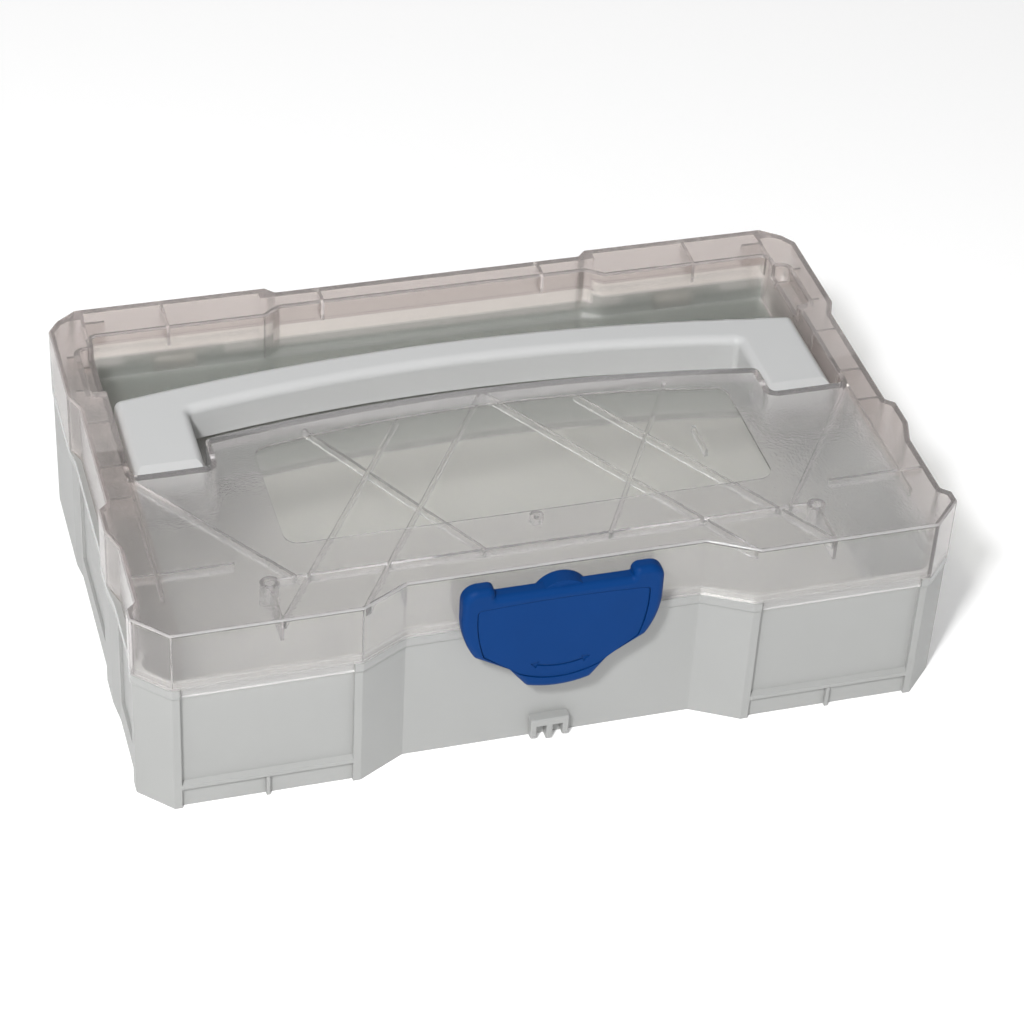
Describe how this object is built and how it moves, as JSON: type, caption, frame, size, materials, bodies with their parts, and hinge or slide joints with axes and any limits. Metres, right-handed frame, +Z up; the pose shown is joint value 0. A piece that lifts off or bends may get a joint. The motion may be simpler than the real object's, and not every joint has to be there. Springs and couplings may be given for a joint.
{
  "type": "storage case",
  "caption": "Low stacking storage case with a grey tub, a hinged clear lid, a fold-down carry handle in the lid and a turning front latch.",
  "frame": {"origin": "middle of the underside, on the surface the case stands on", "axes": "+X right along the front, -Y out of the latch side, +Z up"},
  "size_m": [0.265, 0.171, 0.071],
  "materials": {
    "tub_plastic": "light grey moulded plastic with a fine satin grain",
    "clear_plastic": "clear moulded plastic with a faint warm smoke tint",
    "handle_plastic": "light grey moulded plastic, satin",
    "latch_plastic": "deep blue moulded plastic, satin",
    "pin_steel": "drawn steel",
    "pin_plastic": "pale moulded plastic rod, smooth",
    "spring_steel": "blackened spring steel",
    "washer_plastic": "natural slippery plastic"
  },
  "bodies": {
    "base": {"base_tub": "tub_plastic", "hinge_pin_left": "pin_plastic", "hinge_pin_right": "pin_plastic"},
    "lid": {"clear_lid": "clear_plastic", "handle_pin_left": "pin_steel", "handle_pin_right": "pin_steel", "latch_friction_washer": "washer_plastic"},
    "handle": {"carry_handle": "handle_plastic"},
    "latch": {"rotary_latch": "latch_plastic", "latch_face_plate": "latch_plastic", "latch_axle": "pin_steel", "latch_retaining_ring": "spring_steel"}
  },
  "joints": [
    {"name": "lid_hinge", "type": "hinge", "parent": "base", "child": "lid", "pos_m": [0, 0.0824, 0.049], "axis": [-1, 0, 0], "range_deg": [0, 100]},
    {"name": "handle_pivot", "type": "hinge", "parent": "lid", "child": "handle", "pos_m": [0, 0.0025, 0.0612], "axis": [1, 0, 0], "range_deg": [0, 90]},
    {"name": "latch_turn", "type": "hinge", "parent": "lid", "child": "latch", "pos_m": [0, -0.0772, 0.0596], "axis": [0, 1, 0], "range_deg": [0, 180]}
  ]
}
